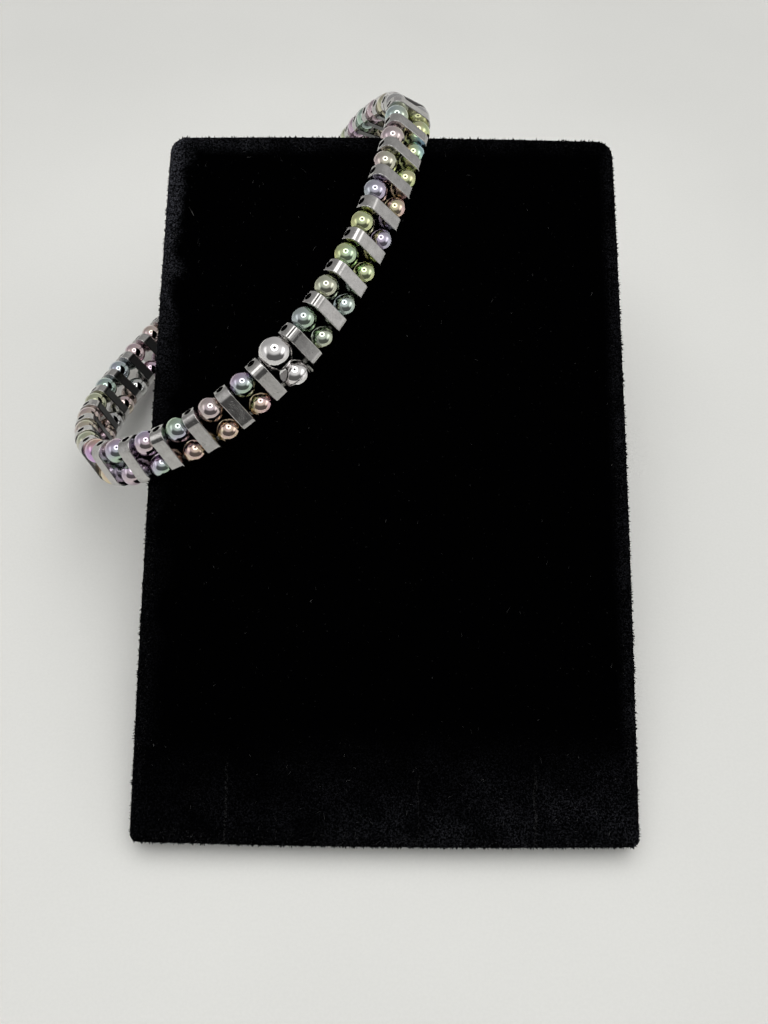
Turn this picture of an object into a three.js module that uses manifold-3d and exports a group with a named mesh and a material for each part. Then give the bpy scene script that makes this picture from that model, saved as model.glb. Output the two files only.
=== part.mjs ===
// Two-row stretch bracelet of round beads and spacer bars, slipped over the upper left corner
// of a velvet display board that leans back on a prop leg.
// Millimetres, +Z up, +Y away from the front. The whole stands on z = 0, and its origin is
// under the middle of its bounding box.
import * as THREE from "three";
import { mergeVertices } from "three/addons/utils/BufferGeometryUtils.js";
import Module from "manifold-3d";

const wasm = await Module();
wasm.setup();

// ---- Driving dimensions ------------------------------------------------------------------

const degrees = THREE.MathUtils.degToRad;

const SLOPE = degrees(21.5); // the board's face above the table

const BOARD = {
  width: 57.4,
  height: 88,
  thickness: 5,
  topCorner: 2.6, // radius of the two upper corners, seen from the front
  bottomCorner: 1.6,
  edgeRound: 0.8, // the velvet turns over the core on this radius, front and back
  footCut: 0.5, // how far the lower back edge is pressed flat where it rests
};

const LEG = {
  width: 20,
  thickness: 3, // measured along the board's back
  topAt: 62, // where it meets the board's back, up from the lower edge
  footBack: 70, // how far behind the board's lower edge its foot ends
};

const BEAD = { diameter: 2.95, rowOffset: 1.68 }; // two rows, this far either side of the middle

const BAR = {
  length: 6, // across the band
  height: 3, // from the wrist side to the outside, and the end's full round
  thickness: 1.6, // along the band
  threadHole: 0.5, // radius of the two holes that the elastics pass through
  socket: 0.42, // radius of the drilled socket in each end
  socketDepth: 0.5,
};

const COVER = {
  upper: { radius: 1.95, offset: -1.75 },
  lower: { radius: 1.75, offset: 2.0 },
};

const ELASTIC = 0.3; // radius of the cord in each row
const BEAD_SIDES = 8; // flats round each bead
const BEAD_CHORDS = 4; // flats from one pole of a bead to the other
const COVER_SIDES = 16; // flats round a knot cover
const COVER_CHORDS = 10; // flats from one pole of a knot cover to the other
const ARC_CHORDS = 3; // flats in each quarter turn of a bar's outline
const SOCKET_SIDES = 6; // flats round a bar's drilled socket
const CORNER_CHORDS = 4; // flats in each quarter turn of the board's outline
const EDGE_CHORDS = 3; // flats where the velvet turns over the board's edge
const REPEATS = 39; // bars round the band, and pairs of balls between them
const STRETCHES = 4; // joined lengths of beads in each row
const GAP = 0.3; // between neighbouring pieces that meet end to end

// The band's middle line, seen in the board's own frame: across it to the right, up its face
// from the lower edge, and off its face towards the front, to the nearest half millimetre. It
// starts at the knot covers and goes left, round behind the board, over the top edge and down
// the front.
const BAND = [
  { across: -12, up: 53.5, off: 9, lean: 0 }, // at the knot covers
  { across: -22.5, up: 45.5, off: 6, lean: 20 },
  { across: -33.5, up: 44, off: -0.5, lean: 35 }, // just past the board's left edge
  { across: -39, up: 51, off: -11.5, lean: 30 }, // the outermost of the left bend
  { across: -38, up: 62, off: -22, lean: 5 },
  { across: -30, up: 78, off: -31, lean: 0 }, // behind the board
  { across: -19, up: 92, off: -34, lean: 0 },
  { across: -7.5, up: 100, off: -26, lean: 0 },
  { across: -2, up: 97.5, off: -11.5, lean: 5 },
  { across: 2, up: 91, off: 1, lean: 5 }, // over the board's top edge
  { across: 0.5, up: 79, off: 7, lean: 0 },
  { across: -4, up: 66, off: 9, lean: -5 },
];
// The bars lie nearly along this one direction all the way round, turned by each row's lean:
// to the right, swung back through the board and then down it.
const BARS_LIE = { back: degrees(40), down: degrees(9) };
const ACROSS_BAND = new THREE.Vector3(1, 0, 0)
  .applyAxisAngle(new THREE.Vector3(0, 1, 0), BARS_LIE.back)
  .applyAxisAngle(new THREE.Vector3(0, 0, 1), -BARS_LIE.down);

// ---- Materials ---------------------------------------------------------------------------

const material = {
  hematite: new THREE.MeshStandardMaterial({ color: 0x8f908e, metalness: 1, roughness: 0.28 }),
  rainbow: new THREE.MeshStandardMaterial({ color: 0xa3ab97, metalness: 1, roughness: 0.12 }),
  silver: new THREE.MeshStandardMaterial({ color: 0xd2d1d0, metalness: 1, roughness: 0.1 }),
  velvet: new THREE.MeshStandardMaterial({ color: 0x060607, metalness: 0, roughness: 0.95 }),
};

// ---- Joining and cutting -----------------------------------------------------------------

function solidFrom(geometry) {
  const bare = geometry.clone();
  bare.deleteAttribute("normal");
  bare.deleteAttribute("uv");
  const merged = mergeVertices(bare, 1e-4);
  return new wasm.Manifold(
    new wasm.Mesh({
      numProp: 3,
      vertProperties: merged.attributes.position.array,
      triVerts: new Uint32Array(merged.index.array),
    }),
  );
}

function geometryFrom(solid) {
  const mesh = solid.getMesh();
  const geometry = new THREE.BufferGeometry();
  geometry.setAttribute("position", new THREE.BufferAttribute(mesh.vertProperties, 3));
  geometry.setIndex(new THREE.BufferAttribute(mesh.triVerts, 1));
  geometry.computeVertexNormals();
  return geometry;
}

function namedMesh(name, geometry, finish) {
  const mesh = new THREE.Mesh(geometry, finish);
  mesh.name = name;
  return mesh;
}

// ---- The band's course -------------------------------------------------------------------

const stations = BAND.map((row) => new THREE.Vector3(row.across, row.up, row.off));
const middleLine = new THREE.CatmullRomCurve3(stations, true, "centripetal");
middleLine.arcLengthDivisions = 100 * BAND.length; // fine enough to place each ball by length
const bandLength = middleLine.getLength();

// The lean at a place along the band, eased between the table's rows.
function leanAt(share) {
  const place = middleLine.getUtoTmapping(share) * BAND.length;
  const row = Math.floor(place) % BAND.length;
  const next = (row + 1) % BAND.length;
  const eased = THREE.MathUtils.smoothstep(place - Math.floor(place), 0, 1);
  return degrees(THREE.MathUtils.lerp(BAND[row].lean, BAND[next].lean, eased));
}

// Where the band is at a length from the knot covers, the way it runs, the way its bars lie
// and the way square to both.
function bandAt(length) {
  const share = THREE.MathUtils.euclideanModulo(length / bandLength, 1);
  const point = middleLine.getPointAt(share);
  const along = middleLine.getTangentAt(share);
  const across = ACROSS_BAND.clone().projectOnPlane(along).normalize();
  across.applyAxisAngle(along, leanAt(share));
  const squareTo = new THREE.Vector3().crossVectors(across, along);
  return { point, along, across, squareTo };
}

function rowPoint(length, offset) {
  const place = bandAt(length);
  return place.point.addScaledVector(place.across, offset);
}

// Bars and balls share what is left of the band's length as even gaps between them.
const coverLength = 2 * COVER.upper.radius;
const beadPairs = REPEATS - 1;
const filled = REPEATS * BAR.thickness + beadPairs * BEAD.diameter + coverLength;
const slack = (bandLength - filled) / (2 * REPEATS);
const firstBarAt = coverLength / 2 + slack + BAR.thickness / 2;
const pitch = BAR.thickness + BEAD.diameter + 2 * slack;
const barAt = (index) => firstBarAt + index * pitch;
const beadAt = (index) => barAt(index) + pitch / 2;

// ---- Bracelet pieces ---------------------------------------------------------------------

function barGeometry() {
  const round = BAR.height / 2;
  const reach = BAR.length / 2 - round;
  const outline = new THREE.Shape();
  outline.absarc(reach, 0, round, -Math.PI / 2, Math.PI / 2);
  outline.absarc(-reach, 0, round, Math.PI / 2, (3 * Math.PI) / 2);
  for (const side of [-1, 1]) {
    const hole = new THREE.Path();
    hole.absarc(side * BEAD.rowOffset, 0, BAR.threadHole, 0, 2 * Math.PI, true);
    outline.holes.push(hole);
  }
  const plate = new THREE.ExtrudeGeometry(outline, {
    depth: BAR.thickness,
    bevelEnabled: false,
    curveSegments: ARC_CHORDS,
  });
  plate.translate(0, 0, -BAR.thickness / 2);
  plate.rotateX(-Math.PI / 2); // the bar's thickness runs along the band, which is its y
  let solid = solidFrom(plate);
  const drillLength = 2 * BAR.socketDepth; // half of it stands out beyond the bar's end
  for (const side of [-1, 1]) {
    const drill = new THREE.CylinderGeometry(BAR.socket, BAR.socket, drillLength, SOCKET_SIDES);
    drill.rotateZ(Math.PI / 2);
    drill.translate((side * BAR.length) / 2, 0, 0);
    solid = solid.subtract(solidFrom(drill));
  }
  return geometryFrom(solid);
}

function bars() {
  const geometry = barGeometry();
  return Array.from({ length: REPEATS }, (_, index) => {
    const name = "bar_" + String(index + 1).padStart(2, "0");
    const bar = namedMesh(name, geometry, material.hematite);
    const place = bandAt(barAt(index));
    const turn = new THREE.Matrix4().makeBasis(place.across, place.along, place.squareTo);
    bar.quaternion.setFromRotationMatrix(turn);
    bar.position.copy(place.point);
    return bar;
  });
}

// Half the outline of a straight string of beads, as radius against length: the elastic's end,
// each bead as a few chords of its circle from pole to pole, and the elastic's other end.
function stringProfile(start, end, firstBead, lastBead) {
  const radius = BEAD.diameter / 2;
  const poleAngle = Math.asin(ELASTIC / radius);
  const profile = [new THREE.Vector2(0, start), new THREE.Vector2(ELASTIC, start)];
  for (let index = firstBead; index <= lastBead; index++) {
    for (let chord = 0; chord <= BEAD_CHORDS; chord++) {
      const angle = THREE.MathUtils.lerp(poleAngle, Math.PI - poleAngle, chord / BEAD_CHORDS);
      const length = beadAt(index) - radius * Math.cos(angle);
      profile.push(new THREE.Vector2(radius * Math.sin(angle), length));
    }
  }
  profile.push(new THREE.Vector2(ELASTIC, end), new THREE.Vector2(0, end));
  return profile;
}

// One joined length of a row: its beads on their elastic, which ends inside the bars next to it.
// It is turned as a straight string, and each ring of it is then set square to the band.
function beadStretch(name, offset, firstBead, lastBead) {
  const start = barAt(firstBead) + GAP / 2;
  const end = barAt(lastBead + 1) - GAP / 2;
  const turned = stringProfile(start, end, firstBead, lastBead);
  const geometry = new THREE.LatheGeometry(turned, BEAD_SIDES);
  const position = geometry.attributes.position;
  for (let index = 0; index < position.count; index++) {
    const place = bandAt(position.getY(index));
    const point = place.point.addScaledVector(place.across, offset + position.getX(index));
    point.addScaledVector(place.squareTo, position.getZ(index));
    position.setXYZ(index, point.x, point.y, point.z);
  }
  geometry.computeVertexNormals();
  return namedMesh(name, geometry, material.rainbow);
}

function beadRow(rowName, offset) {
  return Array.from({ length: STRETCHES }, (_, stretch) => {
    const first = Math.round((stretch * beadPairs) / STRETCHES);
    const last = Math.round(((stretch + 1) * beadPairs) / STRETCHES) - 1;
    return beadStretch(rowName + "_beads_" + (stretch + 1), offset, first, last);
  });
}

function knotCover(name, size) {
  const ball = new THREE.SphereGeometry(size.radius, COVER_SIDES, COVER_CHORDS);
  const cover = namedMesh(name, ball, material.silver);
  cover.position.copy(rowPoint(0, size.offset));
  return cover;
}

// ---- Display stand -----------------------------------------------------------------------

// The board's back lower edge would dip this far under z = 0 before it is pressed flat.
const edge = BOARD.edgeRound;
const backEdgeDrop = (BOARD.thickness - edge) * Math.cos(SLOPE) - edge * Math.sin(SLOPE) + edge;
const boardLift = backEdgeDrop - BOARD.footCut;

function boardOutline() {
  const half = BOARD.width / 2;
  const top = BOARD.height;
  const wide = BOARD.topCorner;
  const tight = BOARD.bottomCorner;
  const outline = new THREE.Shape();
  outline.absarc(half - tight, tight, tight, -Math.PI / 2, 0);
  outline.absarc(half - wide, top - wide, wide, 0, Math.PI / 2);
  outline.absarc(wide - half, top - wide, wide, Math.PI / 2, Math.PI);
  outline.absarc(tight - half, tight, tight, Math.PI, (3 * Math.PI) / 2);
  return outline;
}

function velvetBoard(frame) {
  const slab = new THREE.ExtrudeGeometry(boardOutline(), {
    depth: BOARD.thickness - 2 * edge,
    bevelThickness: edge,
    bevelSize: edge,
    bevelOffset: -edge,
    bevelSegments: EDGE_CHORDS,
    curveSegments: CORNER_CHORDS,
  });
  slab.translate(0, 0, edge - BOARD.thickness);
  const table = new THREE.BoxGeometry(2 * BOARD.width, 2 * BOARD.height, BOARD.thickness);
  table.translate(0, 0, -BOARD.thickness / 2);
  table.applyMatrix4(frame.clone().invert());
  const pressed = solidFrom(slab).subtract(solidFrom(table));
  return namedMesh("velvet_board", geometryFrom(pressed), material.velvet);
}

// A flat leg from the board's back down to z = 0, its side outline drawn in y and z.
function propLeg() {
  const onBack = (up) => {
    const off = -BOARD.thickness - GAP;
    const y = up * Math.cos(SLOPE) - off * Math.sin(SLOPE);
    const z = up * Math.sin(SLOPE) + off * Math.cos(SLOPE) + boardLift;
    return new THREE.Vector2(y, z);
  };
  const outline = new THREE.Shape([
    onBack(LEG.topAt),
    onBack(LEG.topAt - LEG.thickness),
    new THREE.Vector2(LEG.footBack - LEG.thickness, 0),
    new THREE.Vector2(LEG.footBack, 0),
  ]);
  const plate = new THREE.ExtrudeGeometry(outline, { depth: LEG.width, bevelEnabled: false });
  plate.translate(0, 0, -LEG.width / 2);
  // The outline's x and y become y and z, and the extrusion runs along x.
  plate.applyMatrix4(
    new THREE.Matrix4().makeBasis(
      new THREE.Vector3(0, 1, 0),
      new THREE.Vector3(0, 0, 1),
      new THREE.Vector3(1, 0, 0),
    ),
  );
  return namedMesh("prop_leg", plate, material.velvet);
}

// ---- The whole ---------------------------------------------------------------------------

const leaning = new THREE.Group(); // everything drawn in the board's own frame
leaning.rotation.x = SLOPE;
leaning.position.z = boardLift;
leaning.updateMatrix();
leaning.add(velvetBoard(leaning.matrix));
leaning.add(...bars());
leaning.add(...beadRow("upper", -BEAD.rowOffset));
leaning.add(...beadRow("lower", BEAD.rowOffset));
leaning.add(knotCover("knot_cover_upper", COVER.upper));
leaning.add(knotCover("knot_cover_lower", COVER.lower));

const whole = new THREE.Group();
whole.add(leaning, propLeg());
const middle = new THREE.Box3().setFromObject(whole, true).getCenter(new THREE.Vector3());
whole.position.set(-middle.x, -middle.y, 0);

export default whole;
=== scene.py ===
"""A stretch bracelet of round beads and flat spacer bars on a leaning velvet display board.

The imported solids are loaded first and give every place, so each operator below only shapes and
finishes its own pieces. Lengths are in metres, +Z is up and the table is at z = 0.
"""

import math
from functools import reduce

import bpy
import numpy as np
from bpy.props import FloatProperty, FloatVectorProperty, IntProperty, PointerProperty
from mathutils import Matrix, Vector


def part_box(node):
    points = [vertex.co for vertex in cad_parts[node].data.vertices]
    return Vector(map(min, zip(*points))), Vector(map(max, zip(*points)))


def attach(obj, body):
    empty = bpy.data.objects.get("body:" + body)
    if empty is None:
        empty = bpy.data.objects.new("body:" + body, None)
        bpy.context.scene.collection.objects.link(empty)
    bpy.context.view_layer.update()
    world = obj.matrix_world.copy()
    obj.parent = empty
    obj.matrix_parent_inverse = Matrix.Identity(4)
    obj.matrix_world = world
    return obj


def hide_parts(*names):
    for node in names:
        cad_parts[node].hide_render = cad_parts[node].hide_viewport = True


bl_info = {
    "name": "Stretch bracelet on a display board",
    "version": (1, 0, 0),
    "blender": (4, 5, 0),
    "location": "3D View > Sidebar > Bracelet",
    "description": "Builds the bracelet, its velvet display board and a plain studio round them",
    "category": "Object",
}

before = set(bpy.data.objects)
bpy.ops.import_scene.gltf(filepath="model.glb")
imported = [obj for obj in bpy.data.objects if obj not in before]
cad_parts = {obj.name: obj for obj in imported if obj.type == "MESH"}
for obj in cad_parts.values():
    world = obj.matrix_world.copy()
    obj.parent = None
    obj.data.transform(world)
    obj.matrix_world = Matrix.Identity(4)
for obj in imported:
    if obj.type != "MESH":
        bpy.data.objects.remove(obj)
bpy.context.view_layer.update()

MM = 0.001
BAR_NODES = sorted(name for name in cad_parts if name.startswith("bar_"))
ROW_NODES = {
    row: sorted(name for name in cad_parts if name.startswith(row + "_beads_"))
    for row in ("upper", "lower")
}

# The optical path of the rainbow coating, in micrometres, that shows each of these tints.
COATING_PATH = {
    "blue": 0.95,
    "teal": 1.00,
    "green": 1.05,
    "lime": 1.13,
    "gold": 1.18,
    "copper": 1.23,
    "rose": 1.27,
    "pink": 1.30,
    "lilac": 1.35,
    "violet": 1.40,
    "sky": 1.46,
    "sea": 1.51,
    "leaf": 1.58,
    "grey": 1.73,
}
# The tints of each bead in order round the band, starting after the knot covers: one word, or
# two where the tint runs from one side to the other. A plus marks a stronger coating.
UPPER_TINTS = """
    pink-leaf rose-copper leaf-violet sky-rose rose-leaf copper-lilac+ lime-gold gold-rose
    copper lime sea sky-sea rose-copper copper leaf rose-pink lime-gold sea grey lilac-sky
    leaf gold copper-rose violet-sky lime pink sea-leaf rose gold-lime grey teal-lime
    rose-copper copper-lime sky-lilac lime+ lime-green+ lime sky-leaf
""".split()
LOWER_TINTS = """
    gold-rose+ gold-copper+ copper+ pink-leaf sky-rose copper-gold+ gold rose copper grey
    copper grey pink grey lilac grey rose-gold sea gold-copper pink leaf violet-sky copper
    lime+ sea-leaf rose gold lime grey grey lime+ gold-blue+ lime+ gold-copper+ lilac-sky
    lime+ teal-green green-lime
""".split()


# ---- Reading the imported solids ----


def unit(vectors):
    """Each vector over its own length."""
    return vectors / np.linalg.norm(vectors, axis=-1, keepdims=True)


def square_to(vectors, directions):
    """Each vector less its part along the unit direction beside it, over its own length."""
    along = (vectors * directions).sum(-1, keepdims=True)
    return unit(vectors - along * directions)


def read_array(items, name, width=1, kind=float):
    """One property of every item in a collection, as an array with an item to each row."""
    values = np.empty(len(items) * width, kind)
    items.foreach_get(name, values)
    return values.reshape(-1, width) if width > 1 else values


def mesh_arrays(mesh):
    """A mesh's points, and the numbers of the three points of each of its triangles."""
    mesh.calc_loop_triangles()
    triangles = read_array(mesh.loop_triangles, "vertices", 3, np.int64)
    return read_array(mesh.vertices, "co", 3), triangles


def triangle_corners(mesh):
    """The first, second and third corners of a mesh's triangles, three arrays of points."""
    points, triangles = mesh_arrays(mesh)
    return points[triangles].transpose(1, 0, 2)


def surface_axes(node):
    """The middle of a node's surface and its three main directions, longest first.

    They are the eigenvectors of the surface's second moment, the sum over its triangles of
    A / 12 (s s' + p1 p1' + p2 p2' + p3 p3'), where A is the area, p are the corners measured
    from the middle and s is their sum.
    """
    points, triangles = mesh_arrays(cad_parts[node].data)
    corners = points[triangles]
    edges = corners[:, 1:] - corners[:, :1]
    areas = np.linalg.norm(np.cross(edges[:, 0], edges[:, 1]), axis=1) / 2
    middle = (corners.mean(1) * areas[:, None]).sum(0) / areas.sum()
    corners = corners - middle
    total = corners.sum(1)
    squares = total[:, :, None] * total[:, None, :]
    squares += np.einsum("tki,tkj->tij", corners, corners)
    moment = (areas[:, None, None] / 12 * squares).sum(0)
    directions = np.linalg.eigh(moment)[1]
    return middle, directions[:, ::-1].T


def read_band():
    """Middles of the bars in order, and at each bar the unit directions across the band
    (towards the lower row), outwards from the wrist, and along the band to the next bar."""
    found = [surface_axes(name) for name in BAR_NODES]
    middles = np.array([middle for middle, _ in found])
    axes = np.array([directions for _, directions in found])
    outward, along = axes[:, 1], axes[:, 2]
    from_centre = middles - middles.mean(0)
    to_next = np.roll(middles, -1, axis=0) - middles
    outward = outward * np.sign((outward * from_centre).sum(1))[:, None]
    along = along * np.sign((along * to_next).sum(1))[:, None]
    return middles, np.cross(outward, along), outward, along


MIDDLES, ACROSS, OUTWARD, ALONG = read_band()


def node_middle(node):
    """The middle of a node's box."""
    low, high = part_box(node)
    return np.array((low + high) / 2)


def row_offset():
    """How far each row of beads lies from the band's middle line: half the mean step, measured
    across the band, between neighbouring stretches of the two rows."""
    step = node_middle(ROW_NODES["lower"][0]) - node_middle(ROW_NODES["upper"][0])
    return float(np.linalg.norm(step)) / 2


ROW_OFFSET = row_offset()


def halfway_places(offset):
    """Places and directions halfway from each bar to the next, offset across the band.

    With ends p, q and directions a, b there, the place is (p + q) / 2 + d (a - b) / 8, where d
    is the distance from p to q, which is the middle of the cubic through both.
    """
    row = MIDDLES + offset * ACROSS
    start, end = row[:-1], row[1:]
    gap = np.linalg.norm(end - start, axis=1, keepdims=True)
    places = (start + end) / 2 + gap * (ALONG[:-1] - ALONG[1:]) / 8
    along = unit(end - start)
    across = square_to(ACROSS[:-1] + ACROSS[1:], along)
    return places, across, np.cross(along, across), along


# ---- Surfaces as whole arrays ----


def grid_faces(rows, columns, close_rows=False):
    """Four-sided faces of a grid numbered row by row: each joins point (r, c) to (r, c + 1),
    (r + 1, c + 1) and (r + 1, c). Each row closes, and so may each column of points."""
    row = np.arange(rows if close_rows else rows - 1)[:, None]
    column = np.arange(columns)[None, :]
    next_row, next_column = (row + 1) % rows, (column + 1) % columns
    corners = (
        row * columns + column,
        row * columns + next_column,
        next_row * columns + next_column,
        next_row * columns + column,
    )
    return np.stack(corners, axis=-1).reshape(-1, 4)


def shell(points, faces, caps=()):
    """A surface as (points, corner list, corners of each face), with its caps as single faces."""
    corners = [faces.ravel(), *caps]
    counts = [np.full(len(faces), 4)] + [np.array([len(cap)]) for cap in caps]
    return points.reshape(-1, 3), np.concatenate(corners), np.concatenate(counts)


def capped_rows(rows):
    """A shell of closed rows of points, an array (row, column, xyz), shut by a cap on the first
    and the last row."""
    count, columns = rows.shape[:2]
    first = np.arange(columns)[::-1]
    last = np.arange(columns) + (count - 1) * columns
    return shell(rows, grid_faces(count, columns), (first, last))


def copies(surface, places, bases):
    """The shell set at each place: a point (x, y, z) goes to place + x b1 + y b2 + z b3, where
    b1, b2 and b3 are the rows of that place's basis."""
    points, corners, counts = surface
    moved = places[:, None, :] + np.einsum("pk,nkj->npj", points, bases)
    shift = (np.arange(len(places)) * len(points))[:, None]
    return moved.reshape(-1, 3), (corners[None, :] + shift).ravel(), np.tile(counts, len(places))


def joined(surfaces):
    """Several shells as one list of points and faces."""
    shifts = np.cumsum([0] + [len(points) for points, _, _ in surfaces])
    points = np.concatenate([points for points, _, _ in surfaces])
    corners = np.concatenate([c + shift for (_, c, _), shift in zip(surfaces, shifts)])
    return points, corners, np.concatenate([counts for _, _, counts in surfaces])


def new_mesh(name, surface, sharp_over=math.radians(40)):
    """A smooth-shaded mesh of a shell, with its edges kept sharp past an angle."""
    points, corners, counts = surface
    mesh = bpy.data.meshes.new(name)
    mesh.vertices.add(len(points))
    mesh.vertices.foreach_set("co", np.ascontiguousarray(points, np.float32).ravel())
    mesh.loops.add(len(corners))
    mesh.loops.foreach_set("vertex_index", corners.astype(np.int32))
    mesh.polygons.add(len(counts))
    starts = np.concatenate(([0], np.cumsum(counts)[:-1]))
    mesh.polygons.foreach_set("loop_start", starts.astype(np.int32))
    mesh.update(calc_edges=True)
    if mesh.validate():
        raise RuntimeError(name + " has faces that are not sound")
    if enclosed_volume(mesh) < 0:
        mesh.flip_normals()
    mesh.shade_smooth()
    mesh.set_sharp_from_angle(angle=sharp_over)
    return mesh


def enclosed_volume(mesh):
    """The sum of a . (b x c) / 6 over the mesh's triangles, above 0 when they face outwards."""
    a, b, c = triangle_corners(mesh)
    return float((a * np.cross(b, c)).sum() / 6)


def add_values(mesh, name, values):
    """Stores one number for each point of the mesh under a name that materials read."""
    layer = mesh.attributes.new(name, "FLOAT", "POINT")
    layer.data.foreach_set("value", np.ascontiguousarray(values, np.float32).ravel())


def finished_piece(mesh, material, stands_for=()):
    """An object of the mesh at the origin, with the material, that rides on the one body and hides
    the imported parts it stands for.
    """
    piece = bpy.data.objects.new(mesh.name, mesh)
    bpy.context.scene.collection.objects.link(piece)
    mesh.materials.append(material)
    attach(piece, "root")
    if stands_for:
        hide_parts(*stands_for)


def even_turns(count):
    """Angles evenly round a whole turn, the first at 0."""
    return np.arange(count) * 2 * math.pi / count


def turned(radii, lengths, turn):
    """A solid of revolution about z: at each row, (r cos t, r sin t, length), with t each of
    the angles in turn."""
    x = radii[:, None] * np.cos(turn)
    y = radii[:, None] * np.sin(turn)
    z = np.broadcast_to(lengths[:, None], x.shape)
    return np.stack((x, y, z), axis=-1)


def smooth_loop(points, between):
    """A closed curve through the points: each span is the cubic whose direction at a point is
    half the step between its two neighbours, cut into equal parts of its parameter s."""
    s = (np.arange(between) / between)[None, :, None]
    here, ahead = points[:, None], np.roll(points, -1, axis=0)[:, None]
    behind, beyond = np.roll(points, 1, axis=0)[:, None], np.roll(points, -2, axis=0)[:, None]
    leave, arrive = (ahead - behind) / 2, (beyond - here) / 2
    curve = (2 * s**3 - 3 * s**2 + 1) * here + (s**3 - 2 * s**2 + s) * leave
    curve = curve + (3 * s**2 - 2 * s**3) * ahead + (s**3 - s**2) * arrive
    return curve.reshape(-1, 3)


def rings(u, v, sides):
    """The directions cos t u + sin t v, evenly round from u, for each pair u and v."""
    turn = even_turns(sides)[None, :, None]
    return np.cos(turn) * u[:, None] + np.sin(turn) * v[:, None]


def tube_rows(path, heading, level, radii, sides=10):
    """Rings round a path: path + r (cos t u + sin t v), where u is level made square to the
    heading, and v is the heading crossed with u."""
    heading = unit(heading)
    u = square_to(level, heading)
    return path[:, None] + radii[:, None, None] * rings(u, np.cross(heading, u), sides)


def rim_rows(edge, count):
    """How far each row of a rounded rim lies inside the outline, edge (1 - sin a), and below
    the face, edge (1 - cos a), with a from 0 to a quarter turn."""
    turn = np.linspace(0, math.pi / 2, count)
    return edge * (1 - np.sin(turn)), edge * (1 - np.cos(turn))


def rounded_outline(half_width, half_height, top, bottom, spacing, corner_points=13):
    """Points round a rectangle with rounded corners, and the outward direction at each.

    Each corner is a quarter circle about its own centre, and the sides between them are cut
    into equal steps near the spacing.
    """
    # Columns: the centre of each corner, its radius, and where its arc starts in half turns.
    corners = (
        (half_width - bottom, bottom - half_height, bottom, -0.5),
        (half_width - top, half_height - top, top, 0.0),
        (top - half_width, half_height - top, top, 0.5),
        (bottom - half_width, bottom - half_height, bottom, 1.0),
    )
    points, normals = [], []
    for (x, y, radius, turn), after in zip(corners, corners[1:] + corners[:1]):
        angle = np.linspace(turn, turn + 0.5, corner_points) * math.pi
        normal = np.stack((np.cos(angle), np.sin(angle)), axis=1)
        arc = np.array([x, y]) + radius * normal
        last = np.array(after[:2]) + after[2] * normal[-1]
        steps = max(2, round(float(np.linalg.norm(last - arc[-1])) / spacing))
        share = np.linspace(0, 1, steps, endpoint=False)[1:, None]
        side = arc[-1] + share * (last - arc[-1])
        points += [arc, side]
        normals += [normal, np.broadcast_to(normal[-1], side.shape)]
    return np.concatenate(points), np.concatenate(normals)


# ---- Node helpers ----


class Shader:
    """A material's or world's node tree, with one short call for each kind of node it uses."""

    def __init__(self, owner):
        self.owner = owner
        owner.use_nodes = True
        self.tree = owner.node_tree
        self.tree.nodes.clear()

    def node(self, kind, links=None, **settings):
        """Adds a node. Settings are the node's own, and links fill its inputs by name or number
        with a number, a colour or another node's output."""
        made = self.tree.nodes.new(kind)
        for name, value in settings.items():
            setattr(made, name, value)
        for key, value in (links or {}).items():
            if isinstance(value, bpy.types.NodeSocket):
                self.tree.links.new(value, made.inputs[key])
            else:
                made.inputs[key].default_value = value
        return made

    def math(self, operation, first, second=0.0, third=0.0):
        """A number worked out from one, two or three others."""
        links = {0: first, 1: second, 2: third}
        return self.node("ShaderNodeMath", links, operation=operation).outputs[0]

    def times(self, *numbers):
        """The product of the numbers."""
        return reduce(lambda first, second: self.math("MULTIPLY", first, second), numbers)

    def apart(self, first, second):
        """How far apart two numbers are."""
        return self.math("ABSOLUTE", self.math("SUBTRACT", first, second))

    def wander(self, noise, reach):
        """Soft random values turned into steps of up to about half the reach either way."""
        return self.times(self.math("SUBTRACT", noise, 0.5), reach)

    def fade(self, value, start, end, low=0.0, high=1.0):
        """Goes smoothly from low to high as the value goes from start to end."""
        links = {"Value": value, 1: start, 2: end, 3: low, 4: high}
        ramp = self.node("ShaderNodeMapRange", links, interpolation_type="SMOOTHSTEP")
        return ramp.outputs["Result"]

    def blend(self, share, first, second):
        """The first colour at share 0 and the second at 1."""
        links = {0: share, 6: first, 7: second}
        return self.node("ShaderNodeMix", links, data_type="RGBA").outputs[2]

    def place(self):
        """The point on the surface, in the object's own metres."""
        return self.node("ShaderNodeTexCoord").outputs["Object"]

    def value(self, name):
        """A number stored on the mesh's points."""
        return self.node("ShaderNodeAttribute", attribute_name=name).outputs["Fac"]

    def noise(self, place, size, detail=3.0, rough=0.5):
        """Soft random values near 0.5 whose patches are about this many metres wide."""
        links = {"Vector": place, "Scale": 1 / size, "Detail": detail, "Roughness": rough}
        return self.node("ShaderNodeTexNoise", links).outputs["Fac"]

    def stretched(self, place, factors):
        """The place with each coordinate scaled, which draws a pattern out along the others."""
        links = {0: place, 1: factors}
        return self.node("ShaderNodeVectorMath", links, operation="MULTIPLY").outputs[0]

    def bump(self, height, depth, under=None):
        """A normal from a height between 0 and 1 that stands for this many metres."""
        links = {"Height": height, "Distance": depth, "Strength": 1.0}
        if under is not None:
            links["Normal"] = under
        return self.node("ShaderNodeBump", links).outputs["Normal"]

    def principled(self, **links):
        """Ends the tree in the standard surface and gives the material. Words stand for the
        inputs' names."""
        named = {
            key.replace("_", " ").title().replace("Ior", "IOR"): value
            for key, value in links.items()
        }
        surface = self.node("ShaderNodeBsdfPrincipled", named)
        self.node("ShaderNodeOutputMaterial", {"Surface": surface.outputs[0]})
        return self.owner


def new_surface(name):
    """The helper on a new material's node tree, and the place on its surface."""
    s = Shader(bpy.data.materials.new(name))
    return s, s.place()


def grey(level):
    """A grey as red, green, blue and opacity."""
    return (level, level, level, 1.0)


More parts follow.
